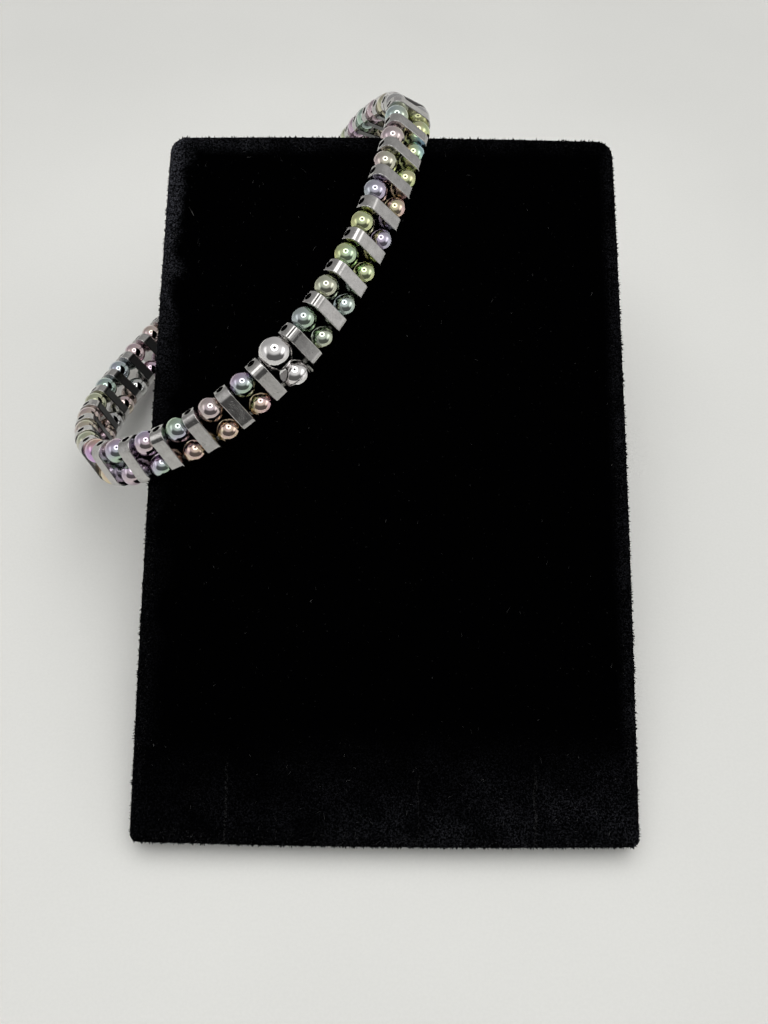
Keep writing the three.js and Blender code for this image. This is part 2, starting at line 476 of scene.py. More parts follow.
# ---- Settings ----


def length(name, description, millimetres):
    """A length that a user may change, given in millimetres and kept in metres."""
    return FloatProperty(
        name=name,
        description=description,
        default=millimetres * MM,
        min=0.0,
        precision=5,
        unit="LENGTH",
        subtype="DISTANCE",
    )


def number(name, description, default):
    """A plain number that a user may change."""
    return FloatProperty(name=name, description=description, default=default, min=0.0, max=10.0)


def colour(name, description, default):
    """A colour that a user may change."""
    return FloatVectorProperty(
        name=name, description=description, default=default, size=3, min=0, max=1, subtype="COLOR"
    )


class BeadSettings(bpy.types.PropertyGroup):
    """Sizes and coating of the round beads."""

    diameter: length("Diameter", "Outside diameter of a bead", 3.0)
    bore: length("Bore", "Diameter of the hole that the elastic passes through", 0.8)
    shine: number("Brightness", "Mean share of light reflected", 0.58)
    rainbow: number("Rainbow", "Strength of the coating's tints", 0.24)


class BarSettings(bpy.types.PropertyGroup):
    """Sizes and colour of the flat spacer bars."""

    length: length("Length", "Across the band", 6.0)
    height: length("Height", "From the wrist side to the outside", 3.0)
    thickness: length("Thickness", "Along the band", 1.7)
    edge: length("Edge", "Radius that the long edges are tumbled to", 0.09)
    corner: length("Corner", "Radius of the rounded ends seen from the side", 1.25)
    socket: length("Socket", "Diameter of the hole in each end", 0.96)
    colour: colour("Colour", "Polished dark stone", (0.50, 0.488, 0.478))
    # Painted shade: this near-black colour darkens the side next to the wrist.
    inside: colour("Inside", "Duller stone on the side next to the wrist", (0.02, 0.02, 0.02))


class CoverSettings(bpy.types.PropertyGroup):
    """The two ball covers closed over the elastics' knots."""

    swell: number("Swell", "Radius over that of the packed ball", 1.05)
    seam: length("Seam", "Width of the closing seam", 0.12)
    seam_depth: length("Seam depth", "Depth of the closing seam", 0.10)
    lip: length("Lip", "How far one lip of the seam lies under the other", 0.12)
    colour: colour("Colour", "Bright silver plating", (0.83, 0.81, 0.81))


class ElasticSettings(bpy.types.PropertyGroup):
    """The clear stretch cord in each row and its trimmed tails."""

    diameter: length("Diameter", "Diameter of the stretch cord", 0.55)
    colour: colour("Colour", "Milky clear cord", (0.50, 0.49, 0.45))


class BoardSettings(bpy.types.PropertyGroup):
    """The velvet board and its prop leg."""

    top_corner: length("Upper corners", "Radius of the board's two upper corners", 2.1)
    bottom_corner: length("Lower corners", "Radius of the board's two lower corners", 0.9)
    edge: length("Edge", "Radius on which the velvet turns over the board's edge", 0.85)
    bow: length("Bow", "How far the middle of each side swells outwards", 0.3)
    nap: length("Nap", "Length of the velvet's pile", 0.30)
    fibres: IntProperty(
        name="Fibres", description="Pile fibres that stand proud", default=26000, min=0
    )
    lint: IntProperty(name="Lint", description="Pale fibres on the front", default=260, min=0)
    colour: colour("Colour", "Black velvet", (0.0003, 0.0003, 0.0004))


class StageSettings(bpy.types.PropertyGroup):
    """The pale table and the soft light box round it."""

    table: colour("Table", "Pale table top", (0.75, 0.75, 0.728))
    walls: number("Walls", "Light from the box's walls", 0.74)
    overhead: number("Overhead", "Light from the ring lamp", 1.9)
    sides: number("Sides", "Light from the side lamps", 1.1)
    opening: number("Opening", "Light from the open front", 0.11)
    soft: number("Soft", "Light on matt surfaces from above", 2.95)
    lens: FloatProperty(
        name="Lens", description="Focal length", default=37.27, unit="CAMERA", subtype="NONE"
    )


class BraceletSettings(bpy.types.PropertyGroup):
    """All the settings of the bracelet, its board and the stage."""

    bead: PointerProperty(type=BeadSettings)
    bar: PointerProperty(type=BarSettings)
    cover: PointerProperty(type=CoverSettings)
    elastic: PointerProperty(type=ElasticSettings)
    board: PointerProperty(type=BoardSettings)
    stage: PointerProperty(type=StageSettings)


def settings():
    """The settings kept with the scene."""
    return bpy.context.scene.bracelet


# ---- Spacer bars ----


def bar_blank(bar):
    """A flat bar with rounded ends, x across the band, y outwards and z along it.

    A row of the rim at angle a lies e (1 - sin a) inside the rounded outline, at
    z = T / 2 - e (1 - cos a), and one more row on each side of the rim keeps the faces that
    meet there flat.
    """
    spacing = 0.25 * MM
    half = (bar.length / 2, bar.height / 2)
    outline, normal = rounded_outline(*half, bar.corner, bar.corner, spacing)
    inset, depth = rim_rows(bar.edge, 5)
    beyond = bar.edge + 0.03 * MM
    inset = np.concatenate(([beyond], inset, [0.0]))
    level = bar.thickness / 2 - np.concatenate(([0.0], depth, [beyond]))
    inset = np.concatenate((inset, inset[::-1]))
    level = np.concatenate((level, -level[::-1]))
    flat = outline - inset[:, None, None] * normal
    z = np.broadcast_to(level[:, None, None], (*flat.shape[:2], 1))
    return capped_rows(np.concatenate((flat, z), axis=-1))


def drills(bar, bead):
    """What is cut from a bar: a rod along z for each elastic, and a rod into each end whose
    mouth opens out like a countersink."""
    through = np.array([-1.0, 1.0]) * bar.thickness
    rod = turned(np.full(2, bead.bore / 2), through, even_turns(20))
    radius = bar.socket / 2
    rim, depth, tip = 0.03 * MM, 0.75 * MM, 0.1 * MM
    mouth = turned(
        np.array([0.6 * radius, radius, radius, radius + rim, radius + 3 * rim]),
        np.array([-depth - tip, -depth, -rim, 0.0, 3 * rim]),
        even_turns(24),
    )
    made = []
    for side in (-1, 1):
        made.append(capped_rows(rod + np.array([side * ROW_OFFSET, 0, 0])))
        # The rod's own x, y, z become the bar's y, z, x.
        socket = mouth[..., [2, 0, 1]] * np.array([side, side, 1])
        made.append(capped_rows(socket + np.array([side * bar.length / 2, 0, 0])))
    return joined(made)


def cut_shell(blank, tools):
    """The blank less the tools, as a shell."""
    body = bpy.data.objects.new("bar_blank", new_mesh("bar_blank", blank))
    cutter = bpy.data.objects.new("bar_drills", new_mesh("bar_drills", tools))
    for made in (body, cutter):
        bpy.context.scene.collection.objects.link(made)
    cut = body.modifiers.new("drilled", "BOOLEAN")
    cut.operation = "DIFFERENCE"
    cut.solver = "EXACT"
    cut.object = cutter
    bpy.context.view_layer.update()
    result = body.evaluated_get(bpy.context.evaluated_depsgraph_get()).to_mesh()
    points = read_array(result.vertices, "co", 3)
    corners = read_array(result.loops, "vertex_index", kind=np.int64)
    counts = read_array(result.polygons, "loop_total", kind=np.int64)
    for made in (body, cutter):
        mesh = made.data
        bpy.data.objects.remove(made)
        bpy.data.meshes.remove(mesh)
    return points, corners, counts


def satin_stone(bar):
    """Polished dark stone with a satin face: faint lines along each bar, a little mottling and
    small pits, with painted shade inside the sockets and on the side next to the wrist."""
    s, place = new_surface("satin_stone")
    local = s.node(
        "ShaderNodeCombineXYZ",
        {0: s.value("bar_x"), 1: s.value("bar_y"), 2: s.value("bar_z")},
    ).outputs[0]
    lines = s.noise(s.stretched(local, (0.12, 1.0, 1.0)), 0.11 * MM, 2.0)
    clouds = s.noise(place, 0.9 * MM, 3.0)
    pits = s.fade(s.noise(place, 0.22 * MM, 1.0), 0.70, 0.76)
    grain = s.fade(s.noise(place, 0.17 * MM, 3.0, 0.8), 0.35, 0.65)
    tone = s.math("MULTIPLY_ADD", grain, 0.5, s.fade(clouds, 0.3, 0.7, 0.0, 0.5))
    light, dark = ((*[c * share for c in bar.colour], 1) for share in (1.16, 0.8))
    base = s.blend(tone, dark, light)
    base = s.blend(s.times(pits, 0.35), base, grey(0.12))
    # Painted shade: the side next to the wrist is darkened towards the inside colour.
    wrist = -bar.height / 2
    inner = s.fade(s.value("bar_y"), wrist + 0.08 * MM, wrist + 0.02 * MM)
    base = s.blend(inner, base, (*bar.inside, 1))
    # Painted shade: the sockets' walls and floors are darkened to near black.
    base = s.blend(s.value("socket"), base, grey(0.03))
    rough = s.math("ADD", s.fade(clouds, 0.25, 0.75, 0.05, 0.1), s.fade(lines, 0.3, 0.7, 0, 0.04))
    normal = s.bump(lines, 0.0008 * MM)
    normal = s.bump(s.math("SUBTRACT", 1.0, pits), 0.004 * MM, normal)
    return s.principled(base_color=base, metallic=1.0, roughness=rough, normal=normal)


class BRACELET_OT_spacer_bars(bpy.types.Operator):
    """Flat spacer bars with drilled ends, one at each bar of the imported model."""

    bl_idname = "bracelet.spacer_bars"
    bl_label = "Spacer bars"

    def execute(self, context):
        bar, bead = settings().bar, settings().bead
        one = cut_shell(bar_blank(bar), drills(bar, bead))
        bases = np.stack((ACROSS, OUTWARD, ALONG), axis=1)
        mesh = new_mesh("spacer_bars", copies(one, MIDDLES, bases), math.radians(30))
        x, y, z = local = np.tile(one[0], (len(MIDDLES), 1)).T
        for name, values in zip(("bar_x", "bar_y", "bar_z"), local):
            add_values(mesh, name, values)
        # The sockets' walls and floors, from a little way inside their mouths, which the material
        # darkens with painted shade.
        from_end = bar.length / 2 - np.abs(x)
        deep = (from_end > 0.3 * MM) & (from_end < 1.0 * MM)
        add_values(mesh, "socket", deep & (np.hypot(y, z) < bar.socket / 2 + 0.01 * MM))
        finished_piece(mesh, satin_stone(bar), BAR_NODES)
        return {"FINISHED"}


# ---- Beads ----


def bead_rows(bead, around=44, across=24):
    """A ball drilled through along z, as closed rows that run over the outside and back through
    the bore: r = R sin a at z = -R cos a from rim to rim, then the bore's wall, with the rim
    broken by a small slope."""
    radius, bore = bead.diameter / 2, bead.bore / 2
    rim = 0.05 * MM
    start = math.asin((bore + rim) / radius)
    angle = np.linspace(start, math.pi - start, across)
    end = radius * math.cos(start) - rim
    radii = np.concatenate((radius * np.sin(angle), [bore, bore]))
    lengths = np.concatenate((-radius * np.cos(angle), [end, -end]))
    return turned(radii, lengths, even_turns(around))


def coating(normals, tints, row_seed):
    """The coating's optical path and its strength at each point of each bead, two arrays
    (bead, point).

    The path runs from the first tint's to the second's as (1 + 1.2 n . h) / 2, with h a
    direction near the same one for every bead. The strength is a + b min(1 - n . f, 1), so the
    tint is faintest on the side that faces f.
    """
    chance = np.random.default_rng(row_seed)
    words = [(tint.rstrip("+").split("-") * 2)[:2] for tint in tints]
    path = np.array([[COATING_PATH[word] for word in pair] for pair in words])
    heading = unit(np.array([0.8, 0.45, -0.35]) + chance.normal(scale=0.25, size=(len(path), 3)))
    share = np.clip((1 + 1.2 * np.einsum("pk,bk->bp", normals, heading)) / 2, 0, 1)
    first, second = path[:, :1], path[:, 1:]
    paths = first + (second - first) * share
    strong = np.array([1.0 if tint.endswith("+") else 0.45 for tint in tints])
    strong[["grey" in tint for tint in tints]] *= 0.4
    side = 1 - normals @ unit(np.array([-0.47, 0.88, 0.08]))
    return paths, strong[:, None] * (0.65 + 0.35 * np.minimum(side, 1))


def rainbow_stone(bead):
    """Polished stone under a thin clear film. Each of red, green and blue is reflected as
    m + k cos(2 pi path / wavelength), with k least for green and most for blue, so the tint
    runs through the colours of a soap film as the path changes."""
    s, place = new_surface("rainbow_stone")
    path = s.math("ADD", s.value("film_path"), s.wander(s.noise(place, 1.4 * MM, 2.0), 0.14))
    strength = s.times(s.value("film_depth"), bead.rainbow)
    channels = []
    for wavelength, share in ((0.62, 0.95), (0.54, 0.8), (0.46, 1.1)):
        wave = s.math("COSINE", s.times(path, 2 * math.pi / wavelength))
        channels.append(s.math("MULTIPLY_ADD", s.times(wave, share), strength, bead.shine))
    film = s.node("ShaderNodeCombineColor", dict(enumerate(channels))).outputs[0]
    specks = s.fade(s.noise(place, 0.14 * MM, 1.0), 0.72, 0.78)
    base = s.blend(s.times(specks, 0.4), film, grey(0.18))
    rough = s.fade(s.noise(place, 0.5 * MM, 4.0), 0.3, 0.75, 0.03, 0.09)
    normal = s.bump(s.noise(place, 0.5 * MM, 2.0), 0.0022 * MM)
    return s.principled(base_color=base, metallic=1.0, roughness=rough, normal=normal)


class BRACELET_OT_beads(bpy.types.Operator):
    """The two rows of round beads, each bead with its own tint of the rainbow coating."""

    bl_idname = "bracelet.beads"
    bl_label = "Beads"

    def execute(self, context):
        bead = settings().bead
        material = rainbow_stone(bead)
        rows = bead_rows(bead)
        one = shell(rows, grid_faces(*rows.shape[:2], close_rows=True))
        for row, offset, tints, seed in (
            ("upper", -ROW_OFFSET, UPPER_TINTS, 11),
            ("lower", ROW_OFFSET, LOWER_TINTS, 23),
        ):
            places, across, outward, along = halfway_places(offset)
            if len(places) != len(tints):
                raise RuntimeError("each bead needs one tint")
            bases = np.stack((across, outward, along), axis=1)
            mesh = new_mesh(row + "_beads", copies(one, places, bases))
            paths, depths = coating(unit(one[0]), tints, seed)
            add_values(mesh, "film_path", paths)
            add_values(mesh, "film_depth", depths)
            finished_piece(mesh, material, ROW_NODES[row])
        return {"FINISHED"}


# ---- Knot covers and elastics ----


def cover_axes():
    """The directions across, outwards and along at the knot covers, halfway from the last bar
    to the first."""
    along = unit(MIDDLES[0] - MIDDLES[-1])
    across = square_to(ACROSS[0] + ACROSS[-1], along)
    return across, np.cross(along, across), along


def ball_radius(node):
    """Half the longest side of a packed ball's box."""
    low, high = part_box(node)
    return max(high - low) / 2


def cover_rows(radius, cover, seam_at, flat_at, flatness, around=120, across=72):
    """A ball closed over a knot: radius times a factor for each cause below, at the direction
    (sin a cos t, sin a sin t, -cos a).

    The seam runs from pole to pole at t = seam_at, its depth falling off as
    exp(-(2 d / width)^2) with the distance d from it, and the lip on one side of it sinks under
    the other as exp(-(d / spread)^2). Each pole is drawn in round the elastic. The side facing
    flat_at is pressed to a plane, by (1 + (n . f / flatness)^k)^(-1 / k). Turns round the ball
    are closer together near the seam: t = seam_at + s - 0.8 sin s.
    """
    pole, neck, spread, sharpness = 0.04, 0.2, 0.5 * radius, 70
    s = even_turns(around)
    aside = s - 0.8 * np.sin(s)
    a = np.linspace(pole, math.pi - pole, across)
    normal = turned(np.sin(a), -np.cos(a), seam_at + aside)
    aside = (aside + math.pi) % (2 * math.pi) - math.pi
    off_axis = np.sin(a)[:, None]
    away = np.abs(aside) * radius * off_axis
    seam = cover.seam_depth * np.exp(-((away / (cover.seam / 2)) ** 2))
    sunk = cover.lip * np.exp(-((away / spread) ** 2)) * (aside < 0)
    drawn_in = 0.3 * radius * np.exp(-((off_axis / neck) ** 2))
    facing = np.maximum(normal @ np.array(flat_at), 0) / flatness
    pressed = (1 + facing**sharpness) ** (-1 / sharpness)
    reach = (radius - seam - sunk - drawn_in) * pressed
    return reach[..., None] * normal


def bright_silver(cover):
    """Mirror silver plating, slightly dented, with faint wear and a warm bloom in patches."""
    s, place = new_surface("bright_silver")
    bloom = s.fade(s.noise(place, 1.4 * MM, 3.0), 0.5, 0.8, 0.0, 0.3)
    base = s.blend(bloom, (*cover.colour, 1), (0.76, 0.68, 0.63, 1))
    wear = s.noise(place, 0.12 * MM, 4.0, 0.6)
    rough = s.fade(wear, 0.35, 0.75, 0.03, 0.07)
    dents = s.bump(s.noise(place, 0.8 * MM, 2.0), 0.014 * MM)
    normal = s.bump(wear, 0.001 * MM, dents)
    return s.principled(base_color=base, metallic=1.0, roughness=rough, normal=normal)


class BRACELET_OT_knot_covers(bpy.types.Operator):
    """The two silver ball covers, the larger in the upper row and the pressed one in the lower."""

    bl_idname = "bracelet.knot_covers"
    bl_label = "Knot covers"

    def execute(self, context):
        cover = settings().cover
        material = bright_silver(cover)
        basis = np.array([cover_axes()])
        for name, seam_at, flat_at, flatness in (
            ("knot_cover_upper", -2.2, (0.0, -1.0, 0.0), 0.97),
            ("knot_cover_lower", 1.6, (-0.806, 0.121, 0.585), 0.85),
        ):
            radius = cover.swell * ball_radius(name)
            rows = cover_rows(radius, cover, seam_at, unit(np.array(flat_at)), flatness)
            surface = copies(capped_rows(rows), node_middle(name)[None], basis)
            mesh = new_mesh("ball_" + name, surface)
            finished_piece(mesh, material, (name,))
        return {"FINISHED"}


def milky_cord(elastic):
    """Clear stretch cord gone milky, with fine strain marks."""
    s, place = new_surface("milky_cord")
    marks = s.noise(place, 0.1 * MM, 3.0)
    shade = [c * 0.8 for c in elastic.colour]
    base = s.blend(marks, (*shade, 1), (*elastic.colour, 1))
    return s.principled(
        base_color=base,
        roughness=s.fade(marks, 0.3, 0.7, 0.25, 0.4),
        transmission_weight=0.35,
        ior=1.5,
        normal=s.bump(marks, 0.004 * MM),
    )


def elastic_loop(row, offset, diameter):
    """A closed tube through the row: its path passes the knot cover, then each bar and each
    bead in turn."""
    beads = halfway_places(offset)[0]
    bars = MIDDLES + offset * ACROSS
    path = np.empty((len(bars) + len(beads) + 1, 3))
    path[0] = node_middle("knot_cover_" + row)
    path[1::2] = bars
    path[2::2] = beads
    path = smooth_loop(path, 3)
    heading = np.roll(path, -1, axis=0) - np.roll(path, 1, axis=0)
    level = np.broadcast_to(unit(ACROSS.mean(0)), path.shape)
    rows = tube_rows(path, heading, level, np.full(len(path), diameter / 2))
    return shell(rows, grid_faces(*rows.shape[:2], close_rows=True))


def cord_tail(start, bend, end, diameter):
    """A trimmed end of cord: a tube on the curve (1 - s)^2 start + 2 s (1 - s) bend + s^2 end,
    rounded over at both ends by sqrt(1 - u^2)."""
    s = np.linspace(0, 1, 18)[:, None]
    path = (1 - s) ** 2 * start + 2 * s * (1 - s) * bend + s**2 * end
    heading = np.gradient(path, axis=0)
    level = np.broadcast_to(np.cross(bend - start, end - bend), path.shape)
    nearest = np.minimum(s, 1 - s)[:, 0]
    rounding = np.sqrt(1 - np.clip(1 - nearest / 0.12, 0, 0.97) ** 2)
    return capped_rows(tube_rows(path, heading, level, rounding * diameter / 2))


class BRACELET_OT_elastics(bpy.types.Operator):
    """The stretch cord in each row and the two short tails that stand out beside the knots."""

    bl_idname = "bracelet.elastics"
    bl_label = "Elastics"

    def execute(self, context):
        elastic = settings().elastic
        axes = np.stack(cover_axes())
        # The tail's start, bend and end, in cover radii across, outwards and along the band.
        tail = np.array([(0.0, 0.25, -0.93), (0.3, 0.5, -1.0), (0.56, 0.48, -0.93)])
        loops, tails = [], []
        for row, side in (("upper", -1.0), ("lower", 1.0)):
            loops.append(elastic_loop(row, side * ROW_OFFSET, elastic.diameter))
            cover = "knot_cover_" + row
            steps = ball_radius(cover) * tail * np.array([side, 1, 1])
            tails.append(cord_tail(*(node_middle(cover) + steps @ axes), elastic.diameter / 2))
        mesh = new_mesh("elastics", joined(loops + tails))
        finished_piece(mesh, milky_cord(elastic))
        return {"FINISHED"}


# ---- Display board ----


def board_axes():
    """The board's middle, its directions across, up its face and off its face, and its half
    sizes along them."""
    points = mesh_arrays(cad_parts["velvet_board"].data)[0]
    up, _, off = surface_axes("velvet_board")[1]
    up = up * np.sign(up[1])
    off = off * np.sign(off[2])
    axes = np.stack((np.cross(up, off), up, off))
    reach = points @ axes.T
    middle = (reach.max(0) + reach.min(0)) / 2
    return middle @ axes, axes, (reach.max(0) - reach.min(0)) / 2


def slab_rows(half, top, bottom, edge, bow, inner_rows, spacing=0.9 * MM):
    """A padded slab as closed rows from the middle of its front to the middle of its back.

    The rim's row at angle a lies edge (1 - sin a) inside the outline, at
    z = T / 2 - edge (1 - cos a). Within the rim the outline shrinks evenly to the middle. Every
    side then swells: x grows by bow (1 - (y / H)^2) x / W, and y by bow (1 - (x / W)^2) y / H.
    """
    outline, normal = rounded_outline(half[0], half[1], top, bottom, spacing)
    inset, depth = rim_rows(edge, 8)
    inner = np.linspace(0.02, 1, inner_rows, endpoint=False)
    scale = np.concatenate((inner, np.ones(len(inset))))
    inset = np.concatenate((np.full(inner_rows, edge), inset))
    depth = np.concatenate((np.zeros(inner_rows), depth))
    flat = scale[:, None, None] * (outline - inset[:, None, None] * normal)
    x, y = flat[..., 0], flat[..., 1]
    wide = x * (1 + bow / half[0] * (1 - np.clip(y / half[1], -1, 1) ** 2))
    tall = y * (1 + bow / half[1] * (1 - np.clip(x / half[0], -1, 1) ** 2))
    z = np.broadcast_to((half[2] - depth)[:, None], wide.shape)
    front = np.stack((wide, tall, z), axis=-1)
    back = front[::-1] * np.array([1, 1, -1])
    return np.concatenate((front, back))


# The grey of painted sheen on the pile, where the light catches it.
PAINTED_SHEEN_GREY = (0.085, 0.087, 0.104, 1)


def painted_velvet_sheen(s, place, half):
    """How much painted sheen greys the velvet at each place: where it turns over the edges, most
    of all round the upper left corner, and in a band along the foot."""
    patches = s.fade(s.noise(place, 4.5 * MM, 3.0, 0.6), 0.3, 0.7)
    up, across = s.value("up"), s.value("across")
    side, height = half[0], 2 * half[1]
    ragged = s.math("MULTIPLY_ADD", patches, 2.4 * MM, across)
    left = s.fade(ragged, 4.2 * MM - side, 0.8 * MM - side)
    higher = s.fade(up, height / 2, 0.975 * height, 0.55, 2.3)
    left = s.times(left, s.times(higher, higher))
    right = s.fade(across, side - 2.2 * MM, side - 0.2 * MM, 0.0, 0.5)
    top = s.fade(up, height - 3.0 * MM, height - 0.4 * MM, 0.0, 0.5)
    top = s.times(top, s.fade(across, -side, 0.0, 3.0, 0.5))
    foot = s.times(s.fade(up, 14 * MM, -2 * MM), s.fade(across, -side, side, 0.2, 0.8))
    painted_sheen = s.math("MAXIMUM", s.math("MAXIMUM", left, right), s.math("MAXIMUM", top, foot))
    return s.times(painted_sheen, s.math("MULTIPLY_ADD", patches, 0.7, 0.3))


def black_velvet(board, half):
    """Black velvet: a pile that drinks light, with painted sheen in fine grey grains at the edges
    and the foot, and parted lines in the pile along the foot."""
    s, place = new_surface("black_velvet")
    deep = (*board.colour, 1)
    pile = s.noise(place, 0.16 * MM, 2.0, 0.7)
    grains = s.fade(s.noise(place, 0.2 * MM, 3.0, 0.8), 0.46, 0.66)
    up, across = s.value("up"), s.value("across")
    painted_sheen = painted_velvet_sheen(s, place, half)
    # Painted sheen: grey grains at the edges, the upper left corner and the foot.
    base = s.blend(s.times(painted_sheen, grains, 0.4), deep, PAINTED_SHEEN_GREY)
    # Parted lines: place across the board, half width, height above the foot, strength.
    aslant = s.noise(s.stretched(place, (1.0, 0.5, 0.5)), 1.5 * MM, 3.0, 0.6)
    aslant = s.wander(aslant, 0.9 * MM)
    for at, half_width, height, strength in (
        (-17.9, 0.20, 10.0, 0.5),
        (3.8, 0.14, 9.0, 0.35),
        (17.0, 0.24, 9.5, 0.5),
    ):
        aside = s.apart(s.math("ADD", across, aslant), at * MM)
        line = s.fade(aside, half_width * MM, 0.3 * half_width * MM)
        line = s.times(line, s.fade(up, height * MM, 0.7 * height * MM), grains, strength)
        base = s.blend(line, base, grey(0.035))
    normal = s.bump(pile, 0.05 * MM)
    return s.principled(
        base_color=base,
        roughness=1.0,
        specular_ior_level=0.0,
        sheen_weight=0.002,
        sheen_roughness=0.4,
        normal=normal,
    )


def velvet_piece(name, slab, placed, across, up, material, node):
    """A velvet slab moved to its place, nowhere below the table, with the values that its
    material reads."""
    _, corners, counts = slab
    placed[:, 2] = np.maximum(placed[:, 2], 0)
    mesh = new_mesh(name, (placed, corners, counts), math.radians(80))
    add_values(mesh, "across", across)
    add_values(mesh, "up", up)
    finished_piece(mesh, material, (node,))


class BRACELET_OT_velvet_board(bpy.types.Operator):
    """The padded velvet board, pressed flat where its lower back edge meets the table."""

    bl_idname = "bracelet.velvet_board"
    bl_label = "Velvet board"

    def execute(self, context):
        board = settings().board
        middle, axes, half = board_axes()
        corners = (board.top_corner, board.bottom_corner)
        slab = capped_rows(slab_rows(half, *corners, board.edge, board.bow, inner_rows=44))
        local = slab[0]
        values = (local[:, 0], local[:, 1] + half[1])
        material = black_velvet(board, half)
        placed = middle + local @ axes
        velvet_piece("board_covered", slab, placed, *values, material, "velvet_board")
        return {"FINISHED"}


def spread_over(mesh, weight_of, count, chance):
    """Random places on a mesh and the surface's direction at each: a triangle is picked by its
    area times weight_of its middle, and a place in it is a + r (b - a) + s (c - a)."""
    a, b, c = triangle_corners(mesh)
    cross = np.cross(b - a, c - a)
    weight = np.linalg.norm(cross, axis=1) * weight_of((a + b + c) / 3)
    pick = chance.choice(len(weight), count, p=weight / weight.sum())
    r, s = chance.random((2, count, 1))
    over = r + s > 1
    r, s = np.where(over, 1 - r, r), np.where(over, 1 - s, s)
    return a[pick] + r * (b - a)[pick] + s * (c - a)[pick], unit(cross[pick])


def spikes(root, heading, reach, width, chance):
    """Three-sided spikes: corners at root + w (cos a u + sin a v) for a = 0, 120 and 240
    degrees, and a tip at root + reach times the heading, which u and v are square to."""
    u = unit(np.cross(heading, unit(chance.normal(size=heading.shape))))
    base = root[:, None] + width * rings(u, np.cross(heading, u), 3)
    points = np.concatenate((base, (root + reach * heading)[:, None]), axis=1)
    points[..., 2] = np.maximum(points[..., 2], 0.02 * MM)  # clear of the table
    faces = np.array([[0, 1, 3], [1, 2, 3], [2, 0, 3], [0, 2, 1]])
    corners = (faces[None] + 4 * np.arange(len(root))[:, None, None]).ravel()
    return points.reshape(-1, 3), corners, np.full(4 * len(root), 3)


def pile_fibres(mesh, board, middle, axes, half):
    """Loose tufts of the pile, thickest along the rim, each leant over by a random step and a
    steady one down the board. Their reach goes up and down with place in small lumps, the sum
    of nine sines of wavelengths from 0.3 to 1.1 mm in random directions."""
    chance = np.random.default_rng(5)

    def near_rim(places):
        local = np.abs((places - middle) @ axes.T)
        inside = np.minimum(half[0] - local[:, 0], half[1] - local[:, 1])
        return np.where(inside < 1.2 * MM, 1.0, 0.03) * (places[:, 2] > 0.3 * MM)

    root, normal = spread_over(mesh, near_rim, board.fibres, chance)
    heading = unit(normal + chance.normal(scale=0.4, size=normal.shape) - 0.12 * axes[1])
    wavelengths = np.linspace(0.3, 1.1, 9)[:, None] * MM
    waves = unit(chance.normal(size=(9, 3))) * 2 * math.pi / wavelengths
    lumps = np.sin(root @ waves.T + chance.uniform(0, 2 * math.pi, 9)).sum(1, keepdims=True) / 2
    reach = board.nap * np.clip(0.75 + 0.4 * lumps, 0.2, 1.3)
    reach = reach * chance.uniform(0.8, 1.1, (board.fibres, 1))
    width = 0.1 * MM * chance.uniform(0.6, 1.4, (board.fibres, 1, 1))
    return spikes(root - 0.05 * MM * normal, heading, reach, width, chance)


def lint_fibres(mesh, board, middle, axes, half):
    """Short pale fibres lying on the front, mostly up and down it and thickest near its upper
    left and its foot."""
    chance = np.random.default_rng(9)

    def on_front(places):
        local = (places - middle) @ axes.T
        foot = np.exp(-(((local[:, 1] + half[1]) / (9 * MM)) ** 2))
        left = np.clip(-local[:, 0] / half[0], 0, 1) * np.clip(local[:, 1] / half[1], 0, 1)
        return (0.15 + foot + 0.9 * left) * (local[:, 2] > 0.9 * half[2])

    root, normal = spread_over(mesh, on_front, board.lint, chance)
    heading = square_to(axes[1] + 0.7 * chance.normal(size=normal.shape), normal)
    heading = unit(heading + 0.12 * normal)
    reach = MM * (0.2 + chance.exponential(0.2, (board.lint, 1)))
    width = 0.016 * MM * chance.uniform(0.7, 1.5, (board.lint, 1, 1))
    return spikes(root, heading, reach, width, chance)


def pile_black(half):
    """The pile's own black, with painted light: paler from tuft to tuft where it catches the
    light, and painted sheen at the edges, the upper left corner and the foot. Also the grey of the
    lint."""
    s, place = new_surface("pile_black")
    tone = s.noise(place, 0.3 * MM, 2.0)
    base = s.blend(s.fade(tone, 0.45, 0.75), grey(0.002), grey(0.012))
    # Painted sheen at the edges, the upper left corner and the foot, in the tufts' paler spots.
    share = s.times(painted_velvet_sheen(s, place, half), s.fade(tone, 0.4, 0.65, 0.1, 0.4))
    base = s.blend(share, base, PAINTED_SHEEN_GREY)
    shade = s.fade(s.noise(place, 3 * MM), 0.35, 0.7, 0.025, 0.13)
    pale = s.node("ShaderNodeCombineColor", {0: shade, 1: shade, 2: shade}).outputs[0]
    base = s.blend(s.value("lint"), base, pale)
    return s.principled(
        base_color=base,
        roughness=s.fade(tone, 0.3, 0.7, 0.85, 1.0),
        specular_ior_level=0.05,
        sheen_weight=0.01,
        sheen_roughness=0.4,
    )


class BRACELET_OT_velvet_pile(bpy.types.Operator):
    """The loose tufts of the velvet that blur the board's outline, and the lint caught in it."""

    bl_idname = "bracelet.velvet_pile"
    bl_label = "Velvet pile"

    def execute(self, context):
        board = settings().board
        middle, axes, half = board_axes()
        covered = bpy.data.objects.get("board_covered")
        if covered is None:
            raise RuntimeError("make the velvet board before its pile")
        tufts = pile_fibres(covered.data, board, middle, axes, half)
        lint = lint_fibres(covered.data, board, middle, axes, half)
        mesh = new_mesh("board_pile", joined([tufts, lint]))
        local = (np.concatenate((tufts[0], lint[0])) - middle) @ axes.T
        add_values(mesh, "across", local[:, 0])
        add_values(mesh, "up", local[:, 1] + half[1])
        add_values(mesh, "lint", np.repeat((0.0, 1.0), (len(tufts[0]), len(lint[0]))))
        finished_piece(mesh, pile_black(half))
        return {"FINISHED"}


